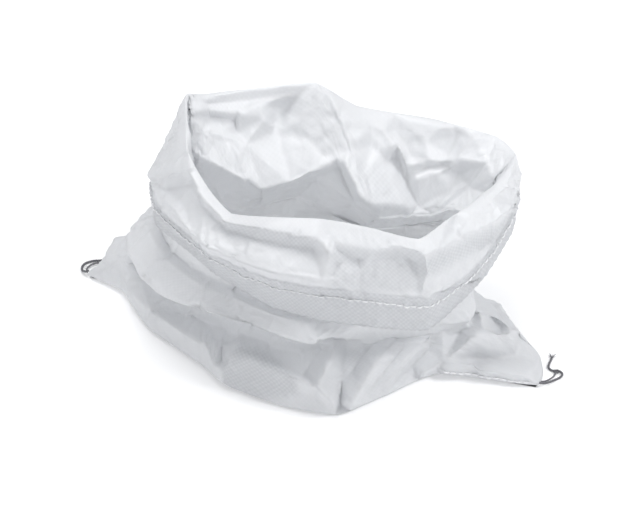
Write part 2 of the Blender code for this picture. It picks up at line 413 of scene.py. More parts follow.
def looseEnds(side, bm, luck):
    # The second strand of the right tail with its knot, and the frayed curl at the left
    name = "returnStrand" if side == "right" else "curl"
    points = np.array(tails[name])
    points[:, 2] += tails["strand"]
    strand, _ = evenly(smoothLine(points, 8), tails["step"])
    sweptTube(bm, strand, tails["strand"] * tails["secondThin"])
    if side == "right":  # a trefoil, not quite closed
        turn = np.linspace(0, 2 * math.pi * 0.98, 40)
        radius = tails["knotRadius"] * (1 + 0.45 * np.cos(3 * turn))
        level = tails["knotHeight"] * np.sin(3 * turn)
        knot = np.stack([radius * np.cos(2 * turn), radius * np.sin(2 * turn), level], axis=1)
        sweptTube(bm, knot + tails["knot"], tails["strand"] * tails["knotThin"])
        return
    for _ in range(tails["fibres"]):
        start = strand[luck.integers(2, len(strand))]
        heading = np.array([luck.uniform(-1, 1), luck.uniform(-1, 1), 0])
        fibre = start + heading * np.linspace(0, tails["fray"], 5)[:, None]
        sweptTube(bm, fibre, np.linspace(*tails["frayThick"], 5), sides=4)


def makeTail(side, material, luck):
    line, length = tailRoute(side)
    bm = bmesh.new()
    count = len(line)
    along = np.linspace(0, length, count)
    tangents = unit(np.gradient(line, axis=0))
    level = unit(np.cross(tangents, [0, 0, 1.0]))
    upright = np.cross(level, tangents)
    strandRadius = tails["strand"] / 2
    reach = tails["width"] / 2 - strandRadius
    for strand in range(3):
        angle = 2 * math.pi * (along / tails["twist"] + strand / 3)
        offset = level * np.cos(angle)[:, None] * reach + upright * np.sin(angle)[:, None] * reach
        sweptTube(bm, line + offset, strandRadius)
    cord = meshFrom(bm, f"thread_tail_{side}", material)

    fibres = bmesh.new()
    for _ in range(tails["fibres"]):
        start = line[-1] - tangents[-1] * tails["fibreStart"]
        spread = luck.uniform(-tails["fibreSpread"], tails["fibreSpread"])
        lift = luck.uniform(0.0, tails["fibreLift"])
        heading = tangents[-1] * math.cos(spread) + level[-1] * math.sin(spread)
        reachOut = tails["fibreLength"] * luck.uniform(0.5, 1.0)
        share = np.linspace(0, 1, 7)[:, None]
        bend = level[-1] * luck.uniform(-tails["fibreBend"], tails["fibreBend"])
        fibre = start + heading * share * reachOut + bend * share**2 * reachOut
        fibre[:, 2] += lift * share[:, 0] * reachOut
        fibre[:, 2] = np.maximum(fibre[:, 2], tails["fibreLow"])
        sweptTube(fibres, fibre, np.linspace(*tails["fibreThick"], 7), sides=4)
    for lean in tails["forkLean"]:
        heading = tangents[-1] * math.cos(lean) + level[-1] * math.sin(lean)
        fork = line[-1] + heading * np.linspace(0, tails["fork"], 6)[:, None]
        fork[:, 2] += np.linspace(0, tails["forkLift"], 6)
        sweptTube(fibres, fork, np.linspace(*tails["forkThick"], 6), sides=5)
    looseEnds(side, fibres, luck)
    tuft = meshFrom(fibres, f"thread_tuft_{side}", material)
    for piece in (cord, tuft):
        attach(piece, "root")
    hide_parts(f"thread_tail_{side}")
    print(f"{side} tail laid, {length * 1000:.0f} mm")


shadedGreyThread, whiteThread = (threadFinish(name, **colours) for name, colours in threadColours.items())
luck = np.random.default_rng(7)
makeTail("right", shadedGreyThread, luck)
makeTail("left", shadedGreyThread, luck)

# The sack. Each ring has twenty stations: from the left ear along the front to the right ear, then back
# along the rear.
sack = {
    "columns": 500,
    "girth": 1.10,
    "hemDepth": 0.043,
    "hemProud": 0.0011,
    "rowStep": 0.0026,
    "bottomRows": 14,
    "crisp": 0.75,  # how sharply the wall turns at a ring, from 0 to 1
    "flat": 0.55,  # and at a station
    "cloth": 0.0006,  # how far the bottom lies above the floor
    "lipShare": 0.07,  # where the cloth turns over the rim, from the rim towards the cuff
    "lipOut": 0.0012,
    "throatShare": 0.94,  # and inside the rim, from the neck towards the rim
    "throatIn": 0.0022,
    "baseIn": 0.004,
    "restHeight": 0.0003,  # no point of the cloth is lower
    "seamBends": [(-0.02, 0.006, 0), (0.150, -0.076, 0)],  # where the bottom seam turns under the sack
    "hemLip": 0.6,  # how far the hem's folded edge stands proud, as a share of the hem
    "weld": 0.00002,
}
hemRing = [
    (-0.180, 0.085, 0.150), (-0.180, 0.045, 0.148), (-0.172, 0.000, 0.144), (-0.134, -0.050, 0.142),
    (-0.106, -0.084, 0.137), (-0.043, -0.126, 0.123), (0.009, -0.137, 0.113), (0.074, -0.135, 0.101),
    (0.128, -0.118, 0.086), (0.166, -0.084, 0.101), (0.194, -0.056, 0.117), (0.222, -0.005, 0.134),
    (0.228, 0.052, 0.118), (0.221, 0.110, 0.110), (0.150, 0.151, 0.116), (0.060, 0.161, 0.124),
    (0.000, 0.1635, 0.135), (-0.080, 0.158, 0.145), (-0.135, 0.141, 0.150), (-0.172, 0.118, 0.152),
]
cuffRing = [
    (-0.165, 0.072, 0.206), (-0.179, 0.032, 0.192), (-0.173, -0.012, 0.200), (-0.146, -0.068, 0.200),
    (-0.112, -0.110, 0.196), (-0.045, -0.146, 0.196), (0.009, -0.152, 0.192), (0.070, -0.150, 0.184),
    (0.130, -0.142, 0.168), (0.178, -0.092, 0.166), (0.208, -0.044, 0.176), (0.231, 0.008, 0.186),
    (0.236, 0.058, 0.175), (0.220, 0.108, 0.165), (0.148, 0.142, 0.166), (0.062, 0.150, 0.178),
    (0.002, 0.150, 0.195), (-0.075, 0.143, 0.205), (-0.124, 0.126, 0.216), (-0.152, 0.102, 0.216),
]
rimRing = [
    (-0.141, 0.070, 0.264), (-0.139, 0.035, 0.258), (-0.137, -0.015, 0.254), (-0.115, -0.062, 0.238),
    (-0.088, -0.092, 0.224), (-0.036, -0.110, 0.231), (0.009, -0.116, 0.233), (0.060, -0.118, 0.224),
    (0.116, -0.121, 0.210), (0.150, -0.075, 0.205), (0.180, -0.040, 0.203), (0.205, 0.000, 0.200),
    (0.229, 0.060, 0.199), (0.208, 0.098, 0.199), (0.140, 0.124, 0.205), (0.050, 0.129, 0.220),
    (0.004, 0.126, 0.253), (-0.070, 0.118, 0.250), (-0.120, 0.105, 0.250), (-0.139, 0.090, 0.262),
]
neckRing = [
    (-0.137, 0.048, 0.190), (-0.135, 0.020, 0.186), (-0.134, -0.016, 0.180), (-0.112, -0.058, 0.172),
    (-0.086, -0.084, 0.166), (-0.036, -0.106, 0.168), (0.010, -0.112, 0.165), (0.062, -0.108, 0.156),
    (0.112, -0.104, 0.144), (0.148, -0.066, 0.146), (0.172, -0.034, 0.150), (0.184, 0.000, 0.148),
    (0.186, 0.036, 0.144), (0.160, 0.062, 0.132), (0.118, 0.062, 0.126), (0.066, 0.046, 0.138),
    (0.012, 0.066, 0.176), (-0.056, 0.050, 0.160), (-0.098, 0.050, 0.187), (-0.126, 0.055, 0.199),
]
waistRing = [
    (-0.178, 0.086, 0.112), (-0.174, 0.052, 0.108), (-0.156, 0.002, 0.106), (-0.118, -0.054, 0.110),
    (-0.086, -0.080, 0.112), (-0.036, -0.108, 0.106), (0.012, -0.116, 0.100), (0.070, -0.092, 0.092),
    (0.112, -0.080, 0.084), (0.160, -0.060, 0.088), (0.176, -0.034, 0.100), (0.180, 0.002, 0.108),
    (0.172, 0.050, 0.102), (0.148, 0.074, 0.098), (0.110, 0.068, 0.096), (0.060, 0.060, 0.098),
    (-0.020, 0.112, 0.102), (-0.086, 0.084, 0.105), (-0.130, 0.084, 0.111), (-0.164, 0.100, 0.112),
]
drapeRing = [
    (-0.206, 0.096, 0.074), (-0.208, 0.056, 0.070), (-0.186, -0.006, 0.075), (-0.143, -0.068, 0.087),
    (-0.106, -0.106, 0.100), (-0.046, -0.135, 0.096), (0.003, -0.141, 0.086), (0.058, -0.100, 0.080),
    (0.116, -0.082, 0.066), (0.176, -0.068, 0.062), (0.184, -0.038, 0.072), (0.182, 0.000, 0.080),
    (0.180, 0.056, 0.084), (0.156, 0.096, 0.080), (0.108, 0.113, 0.078), (0.048, 0.117, 0.076),
    (-0.025, 0.119, 0.075), (-0.090, 0.120, 0.072), (-0.144, 0.122, 0.070), (-0.188, 0.118, 0.074),
]
tuckRing = [
    (-0.196, 0.092, 0.062), (-0.182, 0.062, 0.050), (-0.140, 0.020, 0.044), (-0.098, -0.016, 0.048),
    (-0.068, -0.044, 0.054), (-0.032, -0.072, 0.056), (0.010, -0.090, 0.054), (0.062, -0.084, 0.048),
    (0.116, -0.074, 0.044), (0.172, -0.058, 0.050), (0.178, -0.032, 0.056), (0.168, 0.000, 0.056),
    (0.162, 0.053, 0.060), (0.150, 0.096, 0.060), (0.106, 0.120, 0.056), (0.046, 0.126, 0.054),
    (-0.025, 0.128, 0.053), (-0.088, 0.122, 0.056), (-0.130, 0.114, 0.058), (-0.176, 0.106, 0.063),
]
bellyRing = [
    (-0.234, 0.096, 0.031), (-0.207, 0.068, 0.032), (-0.176, 0.004, 0.030), (-0.124, -0.062, 0.034),
    (-0.091, -0.102, 0.036), (-0.034, -0.132, 0.038), (0.018, -0.142, 0.038), (0.082, -0.112, 0.034),
    (0.138, -0.083, 0.034), (0.216, -0.084, 0.024), (0.229, -0.044, 0.033), (0.207, 0.004, 0.036),
    (0.174, 0.042, 0.024), (0.150, 0.100, 0.034), (0.110, 0.132, 0.034), (0.045, 0.142, 0.034),
    (-0.025, 0.143, 0.034), (-0.095, 0.139, 0.035), (-0.150, 0.132, 0.036), (-0.223, 0.119, 0.041),
]
baseRing = [
    (-0.259, 0.104, 0.005), (-0.218, 0.071, 0.005), (-0.187, -0.001, 0.005), (-0.127, -0.069, 0.005),
    (-0.094, -0.112, 0.005), (-0.030, -0.150, 0.005), (0.030, -0.164, 0.005), (0.084, -0.128, 0.005),
    (0.142, -0.088, 0.005), (0.252, -0.110, 0.005), (0.2570, -0.058, 0.005), (0.214, 0.030, 0.005),
    (0.180, 0.058, 0.005), (0.148, 0.104, 0.005), (0.104, 0.130, 0.005), (0.045, 0.142, 0.005),
    (-0.025, 0.142, 0.005), (-0.095, 0.138, 0.005), (-0.155, 0.130, 0.005), (-0.215, 0.120, 0.005),
]


def smoothLoop(stations, count):
    points = np.array(stations)
    size = len(points)
    place = np.arange(count) * size / count
    first = place.astype(int)
    share = (place - first)[:, None]
    a, b, c, d = (points[(first + shift) % size] for shift in (-1, 0, 1, 2))
    curve = between(a, b, c, d, share)
    return curve + (b + (c - b) * share - curve) * sack["flat"]


def outward(ring, distance):
    along = np.roll(ring, -1, axis=0) - np.roll(ring, 1, axis=0)
    away = unit(np.stack([along[:, 1], -along[:, 0]], axis=1))
    moved = ring.copy()
    moved[:, :2] += away * distance
    return moved


def levelled(ring, height):
    moved = ring.copy()
    moved[:, 2] = height
    return moved


def seamRing(base):
    # The bottom seam under every station of the base, square to the line from ear to ear
    line = smoothLine(np.array([baseRing[0], *sack["seamBends"], baseRing[9]]), 60)
    ears = line[-1, :2] - line[0, :2]
    onLine = (line[:, :2] - line[0, :2]) @ ears
    onBase = (base[:, :2] - line[0, :2]) @ ears
    return levelled(pointsAt(onBase, onLine, line), sack["cloth"])


def sackRows():
    count = sack["columns"]
    given = (hemRing, cuffRing, rimRing, neckRing, waistRing, drapeRing, tuckRing, bellyRing, baseRing)
    hem, cuff, rim, neck, waist, drape, tuck, belly, base = (smoothLoop(ring, count) for ring in given)
    rings = [
        hem,
        cuff,
        outward(rim + (cuff - rim) * sack["lipShare"], sack["lipOut"]),
        rim,
        outward(neck + (rim - neck) * sack["throatShare"], -sack["throatIn"]),
        neck,
        waist,
        drape,
        tuck,
        belly,
        base,
        levelled(outward(base, -sack["baseIn"]), sack["cloth"]),
    ]
    stack = np.stack(rings)
    ends = np.concatenate([[2 * stack[0] - stack[1]], stack, [2 * stack[-1] - stack[-2]]])
    rows = []
    marks = []
    for k in range(len(rings) - 1):
        a, b, c, d = ends[k : k + 4]
        span = np.linalg.norm(c - b, axis=1).mean()
        steps = max(3, round(span / sack["rowStep"]))
        marks.append(len(rows))
        for step in range(steps):
            t = step / steps
            curve = between(a, b, c, d, t)
            rows.append(curve + (b + (c - b) * t - curve) * sack["crisp"])
    marks.append(len(rows))
    flat = stack[-1]
    seam = seamRing(flat)
    for step in range(sack["bottomRows"] + 1):
        t = step / sack["bottomRows"]
        rows.append(flat + (seam - flat) * t)
    names = "hem cuff lip rim throat neck waist drape tuck belly base floor".split()
    return np.stack(rows), dict(zip(names, marks))


# Folds as the photograph shows them. Each line is a crease: its height towards the camera, in units
# of the depth given below, and the pixels that it runs through. Between the lines the cloth is flat.
cuffFolds = [
    (0, [(150, 182), (153, 165), (160, 148), (172, 120), (186, 95)]),
    (0, [(190, 118), (190, 140), (193, 152), (199, 170), (206, 186), (216, 201), (234, 214), (280, 219),
         (320, 220), (365, 224), (395, 233), (415, 239), (430, 237), (445, 224), (458, 208), (480, 193),
         (500, 179), (515, 159)]),
    (0, [(157, 219), (170, 231), (185, 241), (200, 251), (220, 262), (240, 272), (260, 280), (280, 287),
         (300, 291), (330, 294), (360, 296), (420, 297), (440, 293), (460, 285), (480, 278), (497, 262),
         (510, 237), (519, 205)]),
    (6, [(187, 172), (200, 196), (224, 222), (262, 229), (300, 236), (317, 240)]),
    (-4, [(193, 184), (203, 206), (226, 230), (260, 240), (290, 247), (314, 250)]),
    (7, [(168, 205), (200, 243), (240, 262), (280, 274), (322, 281)]),
    (6, [(152, 178), (170, 174), (184, 170), (194, 166)]),
    (-3, [(166, 190), (180, 200)]),
    (5, [(320, 243), (330, 254), (331, 280)]),
    (-5, [(337, 264), (345, 262)]),
    (-9, [(351, 260), (359, 259), (360, 272)]),
    (-5, [(366, 258), (369, 258)]),
    (-9, [(376, 259), (392, 258)]),
    (-6, [(399, 259), (402, 259)]),
    (-10, [(409, 261), (418, 264), (417, 276)]),
    (3, [(332, 244), (380, 250), (400, 246), (424, 256)]),
    (7, [(438, 249), (460, 237), (494, 222), (504, 214)]),
    (-4, [(426, 276), (455, 263), (480, 250), (494, 240), (504, 228)]),
    (-4, [(452, 212), (455, 230)]),
    (5, [(470, 215), (492, 200), (508, 185)]),
]
innerFolds = [
    (0, [(190, 96), (250, 90), (315, 84), (345, 101), (392, 114), (452, 121), (464, 131), (497, 136),
         (515, 156)]),
    (1.5, [(189, 102), (190, 116), (191, 130), (193, 152), (199, 170)]),
    (-3, [(208, 103), (250, 99), (300, 94)]),
    (-9, [(278, 106), (284, 108)]),
    (5, [(261, 103), (266, 121)]),
    (-5, [(272, 121), (276, 131)]),
    (-3, [(209, 117), (234, 119), (236, 132)]),
    (4, [(209, 110), (240, 113)]),
    (4, [(204, 131), (222, 134), (246, 143)]),
    (5, [(204, 159), (225, 170), (245, 180), (262, 189), (290, 182), (312, 172), (336, 161)]),
    (-2, [(214, 186), (230, 194), (262, 196)]),
    (-5, [(268, 192), (292, 185), (316, 177), (336, 169)]),
    (-3, [(222, 203), (262, 206), (320, 212)]),
    (2, [(300, 120), (310, 140), (322, 155)]),
    (11, [(328, 92), (340, 118), (352, 148), (362, 180), (372, 204)]),
    (11, [(344, 164), (361, 199)]),
    (-9, [(339, 168), (354, 202)]),
    (5, [(372, 122), (378, 150), (392, 180), (404, 206)]),
    (-5, [(398, 158), (408, 184), (418, 206)]),
    (7, [(384, 132), (396, 145), (402, 157)]),
    (2, [(372, 146), (386, 160)]),
    (-2, [(396, 132), (407, 146), (411, 157)]),
    (5, [(406, 166), (430, 161), (454, 160)]),
    (-2, [(412, 171), (440, 166)]),
    (4, [(416, 178), (436, 172), (455, 166)]),
    (4, [(448, 124), (427, 141), (424, 154)]),
    (-3, [(458, 136), (448, 155)]),
    (5, [(474, 138), (464, 148), (459, 160)]),
    (-5, [(460, 172), (470, 186)]),
    (4, [(480, 148), (486, 164), (492, 178)]),
    (-3, [(430, 214), (452, 190), (462, 172)]),
    (-2, [(378, 216), (410, 214), (438, 212)]),
    (0, [(205, 250), (320, 262), (440, 262), (500, 200)]),
]
drapeFolds = [
    (0, [(113, 240), (122, 236), (140, 221), (152, 210)]),
    (0, [(160, 218), (185, 240), (215, 262), (245, 282), (280, 296), (320, 308), (400, 312), (426, 318),
         (450, 300), (470, 280)]),
    (7, [(160, 228), (158, 262), (150, 272)]),
    (-3, [(136, 240), (124, 256)]),
    (5, [(176, 258), (205, 281), (240, 300), (275, 314), (306, 324)]),
    (-2, [(196, 262), (204, 278)]),
    (0, [(120, 262), (142, 282), (165, 298), (200, 305), (240, 318), (270, 330), (298, 336), (313, 340),
         (345, 322), (400, 330), (440, 320)]),
]
bodyFolds = [
    (0, [(120, 262), (142, 284), (165, 302), (200, 309), (240, 322), (270, 334), (300, 342), (318, 342),
         (345, 326), (400, 334), (440, 322), (470, 290)]),
    (-7, [(176, 314), (200, 321), (240, 335), (270, 347), (300, 352), (322, 349)]),
    (6, [(128, 288), (150, 310), (178, 328), (202, 344)]),
    (0, [(85, 279), (100, 284), (122, 290), (140, 318), (152, 331), (170, 343), (200, 368), (225, 389),
         (262, 400), (300, 412), (334, 416), (352, 412), (370, 402), (388, 390), (420, 380), (438, 373)]),
    (6, [(204, 342), (214, 364), (221, 380)]),
    (-4, [(222, 344), (222, 362)]),
    (6, [(237, 342), (230, 356), (224, 368)]),
    (9, [(243, 347), (256, 359), (290, 375), (318, 386), (332, 400)]),
    (-7, [(268, 352), (284, 364), (302, 377)]),
    (4, [(292, 392), (316, 395)]),
    (10, [(352, 402), (362, 384), (374, 365), (402, 331)]),
    (3, [(366, 394), (384, 372), (404, 346), (412, 337)]),
    (-7, [(352, 374), (366, 352), (384, 334)]),
    (7, [(388, 380), (404, 362), (422, 345)]),
    (-5, [(404, 374), (413, 365), (428, 350)]),
    (6, [(424, 372), (446, 359), (478, 342)]),
    (-5, [(340, 404), (342, 380), (346, 350)]),
    (5, [(322, 388), (330, 360), (336, 345)]),
    (0, [(460, 298), (497, 302), (508, 315), (520, 330), (534, 345), (539, 360), (537, 385), (500, 383),
         (470, 378)]),
    (10, [(470, 337), (496, 333), (508, 332)]),
    (-7, [(478, 359), (500, 358), (516, 356)]),
    (-9, [(455, 312), (462, 330)]),
    (8, [(478, 304), (482, 326)]),
    (-6, [(492, 308), (500, 328)]),
    (6, [(440, 372), (478, 368), (500, 372), (524, 376)]),
]
folds = {  # depth is the millimetres in one unit of a crease's height
    "cuff": {"lines": cuffFolds, "from": "hem", "to": "rim", "facing": 1, "depth": 1.6},
    "inside": {"lines": innerFolds, "from": "rim", "to": "waist", "facing": -1, "depth": 2.1},
    "drape": {"lines": drapeFolds, "from": "waist", "to": "drape", "facing": 1, "depth": 2.1},
    "body": {"lines": bodyFolds, "from": "tuck", "to": "floor", "facing": 1, "depth": 2.0},
}
facets = {
    "flat": 0.85,  # how far the cloth between creases is drawn flat, from 0 to 1
    "most": 0.008,  # the full share holds up to this far from the lofted wall, and none at twice as far
    "near": 3.0,  # pixels within which a crease point finds the wall
    "flatGrows": (3, -0.3),  # with how far the wall faces the camera, the drawing flat grows
    "foldGrows": (4, 0.6),  # and so do the creases
    "fadeRows": 3,  # rows over which they die out at both edges of their part
}


def netHeights(lines, pixels, ground=None):
    # A net of flat facets between the crease lines. Heights are read from it at the pixels, and with
    # the ground that the net stands on, the depth of its facets as well.
    corners, heights, edges = [], [], []
    for height, line in lines:
        start = len(corners)
        corners += [Vector(point) for point in line]
        heights += [height] * len(line)
        edges += [(start + k, start + k + 1) for k in range(len(line) - 1)]
    verts, links, faces, origin, _, _ = geometry.delaunay_2d_cdt(corners, edges, [], 0, 1e-4)
    level = np.array([np.mean([heights[k] for k in known]) if known else np.nan for known in origin])
    for k in np.flatnonzero(np.isnan(level)):
        near = [a if b == k else b for a, b in links if k in (a, b)]
        level[k] = np.nanmean(level[near])
    places = np.array([tuple(point) for point in verts])
    levels = [level] if ground is None else [level, level + ground(places)]
    results = [np.zeros(len(pixels)) for _ in levels]
    for face in faces:
        a, b, c = (places[k] for k in face)
        area = (b[0] - a[0]) * (c[1] - a[1]) - (c[0] - a[0]) * (b[1] - a[1])
        if abs(area) < 1e-9:
            continue
        toB = ((pixels[:, 0] - a[0]) * (c[1] - a[1]) - (c[0] - a[0]) * (pixels[:, 1] - a[1])) / area
        toC = ((b[0] - a[0]) * (pixels[:, 1] - a[1]) - (pixels[:, 0] - a[0]) * (b[1] - a[1])) / area
        inside = (toB >= 0) & (toC >= 0) & (toB + toC <= 1)
        for level, result in zip(levels, results):
            values = level[list(face)]
            rise = toB[inside] * (values[1] - values[0])
            result[inside] = values[0] + rise + toC[inside] * (values[2] - values[0])
    return results[0] if ground is None else results


def blurred(field, times):
    for _ in range(times):
        field = 0.5 * field + 0.25 * (np.roll(field, 1, axis=1) + np.roll(field, -1, axis=1))
        inner = 0.5 * field[1:-1] + 0.25 * (field[:-2] + field[2:])
        field = np.concatenate([field[:1], inner, field[-1:]])
    return field


def gridNormals(rows):
    around = np.roll(rows, -1, axis=1) - np.roll(rows, 1, axis=1)
    down = np.gradient(rows, axis=0)
    normal = np.cross(around, down)
    size = np.linalg.norm(normal, axis=2, keepdims=True)
    return normal / np.maximum(size, 1e-9)


def addFolds(rows, marks):
    ahead, _ = viewAxes()
    towardsCamera = -np.array(ahead)
    for name, fold in folds.items():
        first, last = marks[fold["from"]], marks[fold["to"]] + 1
        part = rows[first:last]
        pixels = toPixels(part).reshape(-1, 2)
        facing = plan(part) * fold["facing"]
        depth = (part @ towardsCamera).reshape(-1)
        seen = np.flatnonzero(facing.reshape(-1) > 0)
        scale = fold["depth"] / 1000

        def ground(places):
            # The depth of the wall at each crease point, in the unit of the heights
            levels = []
            for place in places:
                far = np.hypot(*(pixels[seen] - place).T)
                close = seen[far < facets["near"]]
                levels.append(depth[close].max() if len(close) else depth[seen[far.argmin()]])
            return np.array(levels) / scale

        height, flat = (values * scale for values in netHeights(fold["lines"], pixels, ground))
        change = np.where(flat == 0, 0, flat - depth - height)
        change *= facets["flat"] * np.clip(2 - np.abs(change) / facets["most"], 0, 1)
        grow, start = facets["flatGrows"]
        change *= np.clip(facing.reshape(-1) * grow + start, 0, 1)  # the outline keeps its place
        height = (height + change).reshape(part.shape[:2])
        grow, start = facets["foldGrows"]
        height = height * np.clip(facing * grow + start, 0, 1)
        fade = np.minimum(np.arange(len(part)), np.arange(len(part))[::-1])[:, None]
        height = height * np.clip(fade / facets["fadeRows"], 0, 1)
        rows[first:last] += height[..., None] * towardsCamera
        print(f"{name} folds pressed in")
    return rows


def plan(part):
    # How far the sack's outer face turns to the camera, seen from above: 1 at the front, -1 at the back
    along = np.roll(part, -1, axis=1) - np.roll(part, 1, axis=1)
    size = np.hypot(along[..., 0], along[..., 1])
    return along[..., 0] / np.maximum(size, 1e-9)


crumple = {
    "hush": 0.7,  # how far the folds below are held back where the photograph's own folds are
    "turnIn": 3,  # how fast that sets in as the wall turns to the camera
    "shift": 0.42,  # how far a point of a net strays, in meshes
    "least": 0.15,  # what is left of them at the hem and the rim
    "rimRows": 7,
    "atBase": 0.25,
    "overlap": 0.1,  # how far a net runs on past its start, so that it closes round the sack
    "fromHem": 0.02,  # no long crease has its middle nearer to the hem
    "endSlope": 1.6,  # how steeply a long crease dies out towards its ends
}
crumpleNets = {
    "large": {"size": 0.060, "height": 0.0030, "seed": 11, "hushed": 1.0},
    "middle": {"size": 0.026, "height": 0.0013, "seed": 12, "hushed": 0.6},
    "small": {"size": 0.012, "height": 0.0004, "seed": 13, "hushed": 0.3},
}
longCreases = {
    "broad": {
        "count": 60,
        "seed": 21,
        "length": (0.07, 0.20),
        "width": (0.012, 0.026),
        "height": (0.0014, 0.0036),
        "hushed": 1.0,
    },
    "narrow": {
        "count": 110,
        "seed": 22,
        "length": (0.04, 0.16),
        "width": (0.005, 0.010),
        "height": (0.0006, 0.0018),
        "hushed": 0.6,
    },
}


def creaseHeights(place, tall, hushed):
    # Long straight creases, each a ridge or a valley with flat sides
    total = np.zeros(len(place))
    slope = crumple["endSlope"]
    for kind in longCreases.values():
        draw = np.random.default_rng(kind["seed"])
        for _ in range(kind["count"]):
            middle = np.array([draw.uniform(0, sack["girth"]), draw.uniform(crumple["fromHem"], tall)])
            angle = draw.uniform(0, math.pi)
            heading = np.array([math.cos(angle), math.sin(angle)])
            half = draw.uniform(*kind["length"]) / 2
            width = draw.uniform(*kind["width"])
            height = draw.uniform(*kind["height"]) * draw.choice([-1, 1])
            offset = place - middle
            offset[:, 0] = (offset[:, 0] + sack["girth"] / 2) % sack["girth"] - sack["girth"] / 2
            alongLine = np.abs(offset @ heading) / half
            side = np.abs(offset @ np.array([-heading[1], heading[0]])) / width
            share = np.clip(1 - side, 0, 1) * np.clip(slope - slope * alongLine, 0, 1)
            total += height * share * hushed ** kind["hushed"]
    return total


def crumpled(rows, marks):
    count = sack["columns"]
    down = lengthDown(rows)
    across = np.arange(count) / count * sack["girth"]
    place = np.stack(np.meshgrid(across, down), axis=-1).reshape(-1, 2)
    ahead, _ = viewAxes()
    faces = -gridNormals(rows) @ np.array(ahead)
    faces[marks["waist"] :] *= -1
    hushed = 1 - crumple["hush"] * np.clip(faces * crumple["turnIn"], 0, 1)
    total = np.zeros(len(place))
    shift, overlap = crumple["shift"], crumple["overlap"]
    for scale in crumpleNets.values():
        draw = np.random.default_rng(scale["seed"])
        size = scale["size"]
        wide, tall = int(sack["girth"] / size), int(down[-1] / size) + 2
        net = []
        for row in range(tall + 1):
            for column in range(wide):
                x = (column + draw.uniform(-shift, shift)) * size * sack["girth"] / (wide * size)
                y = (row + draw.uniform(-shift, shift)) * size
                height = draw.normal() * scale["height"]
                for lap in (-1, 0, 1):
                    if -overlap < x + lap * sack["girth"] < sack["girth"] + overlap:
                        net.append((height, [(x + lap * sack["girth"], y)]))
        total += netHeights(net, place) * hushed.reshape(-1) ** scale["hushed"]
    total += creaseHeights(place, down[-1], hushed.reshape(-1))
    field = total.reshape(rows.shape[:2])
    quiet = np.ones(len(rows))
    quiet[: marks["cuff"]] = np.linspace(crumple["least"], 1, marks["cuff"])
    fromRim = np.abs(np.arange(len(rows)) - marks["rim"])
    quiet *= np.clip(fromRim / crumple["rimRows"], crumple["least"], 1)  # the rim is a pressed edge
    quiet[marks["base"] :] = 0
    quiet[marks["belly"] : marks["base"]] = np.linspace(1, crumple["atBase"], marks["base"] - marks["belly"])
    rows += gridNormals(rows) * (field * quiet[:, None])[..., None]
    return rows


# the same values darken the cloth's colour as painted shade, the hem most
tapes = {"elsewhere": 0.12, "hem": 0.9, "hemRows": 4, "blurs": 3}  # how plainly they show
# Places where the light brings out the single tapes, as outlines in the photograph's pixels. There the
# cloth's colour is also darkened, as painted shade.
tapeAreas = [
    ("hem", "rim", 1.0, [(424, 264), (440, 250), (470, 238), (500, 224), (514, 206), (517, 222),
         (508, 236), (490, 246), (462, 258), (440, 268), (424, 278)]),
    ("hem", "rim", 0.8, [(216, 222), (262, 227), (300, 233), (318, 242), (312, 252), (285, 249),
         (250, 241), (226, 233)]),
    ("hem", "rim", 0.6, [(330, 246), (424, 250), (424, 292), (332, 290)]),
    ("waist", "floor", 1.0, [(238, 343), (262, 352), (290, 372), (300, 394), (262, 400), (226, 388),
         (222, 368)]),
    ("waist", "floor", 0.5, [(345, 350), (372, 346), (360, 376), (338, 384)]),
    ("rim", "waist", 0.5, [(352, 160), (372, 208), (402, 208), (384, 168)]),
]


def weaveAndShade(rows, marks):
    # How plainly the tapes show at each point of the cloth, from 0 to 1, which also sets how far painted
    # shade darkens its colour
    shownAndShaded = np.full(rows.shape[:2], tapes["elsewhere"])
    pixels = toPixels(rows)
    x, y = pixels[..., 0], pixels[..., 1]
    for first, last, strength, outline in tapeAreas:
        inside = np.zeros(x.shape, bool)
        for (x0, y0), (x1, y1) in zip(outline, outline[1:] + outline[:1]):
            crosses = (y0 > y) != (y1 > y)
            inside ^= crosses & (x < x0 + (y - y0) * (x1 - x0) / (y1 - y0 + 1e-9))
        level = np.arange(len(rows))[:, None]
        inside &= (level >= marks[first]) & (level < marks[last])
        shownAndShaded = np.where(inside, strength, shownAndShaded)
    shownAndShaded[: tapes["hemRows"]] = tapes["hem"]
    return blurred(shownAndShaded, tapes["blurs"])


settle = {
    "every": 2,  # the simulated cage has every second row and column
    "frames": 18,
    "slack": 0.035,  # share by which the cloth is larger than its frame, so that it buckles
    "hold": 0.55,  # how firmly the cage is pinned, from 0 to 1
    "hemHold": 0.8,
    "hemRows": 4,
    "rimRows": 7,  # rows beside the rim that don't move
    "most": 0.005,  # furthest that a point may move
    "cloth": {
        "quality": 5,
        "mass": 0.05,
        "tension_stiffness": 20,
        "compression_stiffness": 20,
        "shear_stiffness": 12,
        "bending_stiffness": 1.0,
        "air_damping": 3,
        "pin_stiffness": 0.5,
    },
}


def cageGrid(name, points):
    count = points.shape[1] - 1
    bpy.ops.object.select_all(action="DESELECT")
    bpy.ops.mesh.primitive_grid_add(
        x_subdivisions=count, y_subdivisions=len(points) - 1, size=1, calc_uvs=True
    )
    piece = bpy.context.object
    piece.name = name
    piece.data.name = name
    piece.data.vertices.foreach_set("co", points.reshape(-1))
    piece.data.update()
    return piece


